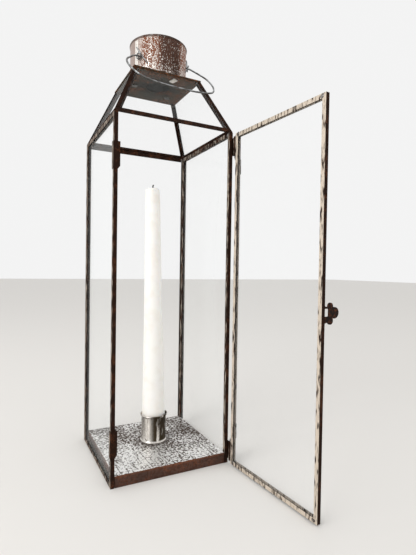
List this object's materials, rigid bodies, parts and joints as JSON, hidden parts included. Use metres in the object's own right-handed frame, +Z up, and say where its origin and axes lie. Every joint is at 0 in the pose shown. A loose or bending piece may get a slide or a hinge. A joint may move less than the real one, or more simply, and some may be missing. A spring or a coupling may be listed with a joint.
{
  "type": "candle lantern",
  "caption": "Tall square glass lantern with tin cames, an open hinged glass door, a pyramid glass roof, a drum chimney with a wire bail, and a tapered candle in a tin cup.",
  "frame": {"origin": "middle of the bounding box with the door open, on the table plane; the lantern body's own centre is 12.5 mm to -X and 54.8 mm to +Y of it", "axes": "+Z up; -Y is the front, with the doorway; +X is the viewer's right, the side the door is hung on"},
  "size_m": [0.1342, 0.2172, 0.3849],
  "materials": {
    "came_tin": "folded tin came, near-black brown with reddish rust",
    "door_tin": "folded tin came, brown outside and worn light on its inner faces",
    "pane_glass": "clear window glass",
    "tray_zinc": "galvanised sheet, mottled silver with brown specks",
    "cup_tin": "bright tin with brown tarnish streaks",
    "wax": "smooth ivory candle wax",
    "wick_cotton": "dark braided cotton",
    "crown_tin": "tin plate, olive brown with rust specks and soot",
    "drum_tin": "tin plate, pale with heavy red-brown rust speckle",
    "galvanised": "galvanised wire, pale grey",
    "rusty_iron": "dark rusted iron"
  },
  "bodies": {
    "lantern": {"back_pane": "pane_glass", "back_came_bottom": "came_tin", "back_came_top": "came_tin", "back_came_left": "came_tin", "back_came_right": "came_tin", "left_pane": "pane_glass", "left_came_bottom": "came_tin", "left_came_top": "came_tin", "left_came_front": "came_tin", "left_came_back": "came_tin", "right_pane": "pane_glass", "right_came_bottom": "came_tin", "right_came_top": "came_tin", "right_came_front": "came_tin", "right_came_back": "came_tin", "roof_front_pane": "pane_glass", "roof_front_eave": "came_tin", "roof_front_hip_left": "came_tin", "roof_front_hip_right": "came_tin", "roof_right_pane": "pane_glass", "roof_right_eave": "came_tin", "roof_right_hip_left": "came_tin", "roof_right_hip_right": "came_tin", "roof_back_pane": "pane_glass", "roof_back_eave": "came_tin", "roof_back_hip_left": "came_tin", "roof_back_hip_right": "came_tin", "roof_left_pane": "pane_glass", "roof_left_eave": "came_tin", "roof_left_hip_left": "came_tin", "roof_left_hip_right": "came_tin", "tray": "tray_zinc", "candle_cup": "cup_tin", "crown_plate": "crown_tin", "chimney": "drum_tin", "ear_left": "galvanised", "ear_right": "galvanised", "knuckle_lower": "came_tin", "knuckle_upper": "came_tin", "clip_lower": "came_tin", "clip_upper": "came_tin"},
    "door": {"door_pane": "pane_glass", "door_came_hinge": "door_tin", "door_came_latch": "door_tin", "door_came_top": "door_tin", "door_came_bottom": "door_tin", "door_pull": "rusty_iron", "hinge_wire_lower": "galvanised", "hinge_wire_upper": "galvanised"},
    "bail": {"bail": "galvanised"},
    "candle": {"candle": "wax", "wick": "wick_cotton"}
  },
  "joints": [
    {"name": "door_hinge", "type": "hinge", "parent": "lantern", "child": "door", "pos_m": [0.0425, -0.0017, 0.15], "axis": [0, 0, 1], "range_deg": [-94.3, 125]},
    {"name": "bail_swing", "type": "hinge", "parent": "lantern", "child": "bail", "pos_m": [-0.0106, 0.0417, 0.3673], "axis": [-0.996, -0.0801, -0.0384], "range_deg": [0, 240]},
    {"name": "candle_lift", "type": "slide", "parent": "lantern", "child": "candle", "axis": [-0.0147, 0.0077, 0.9999], "range_m": [0, 0.06]}
  ]
}
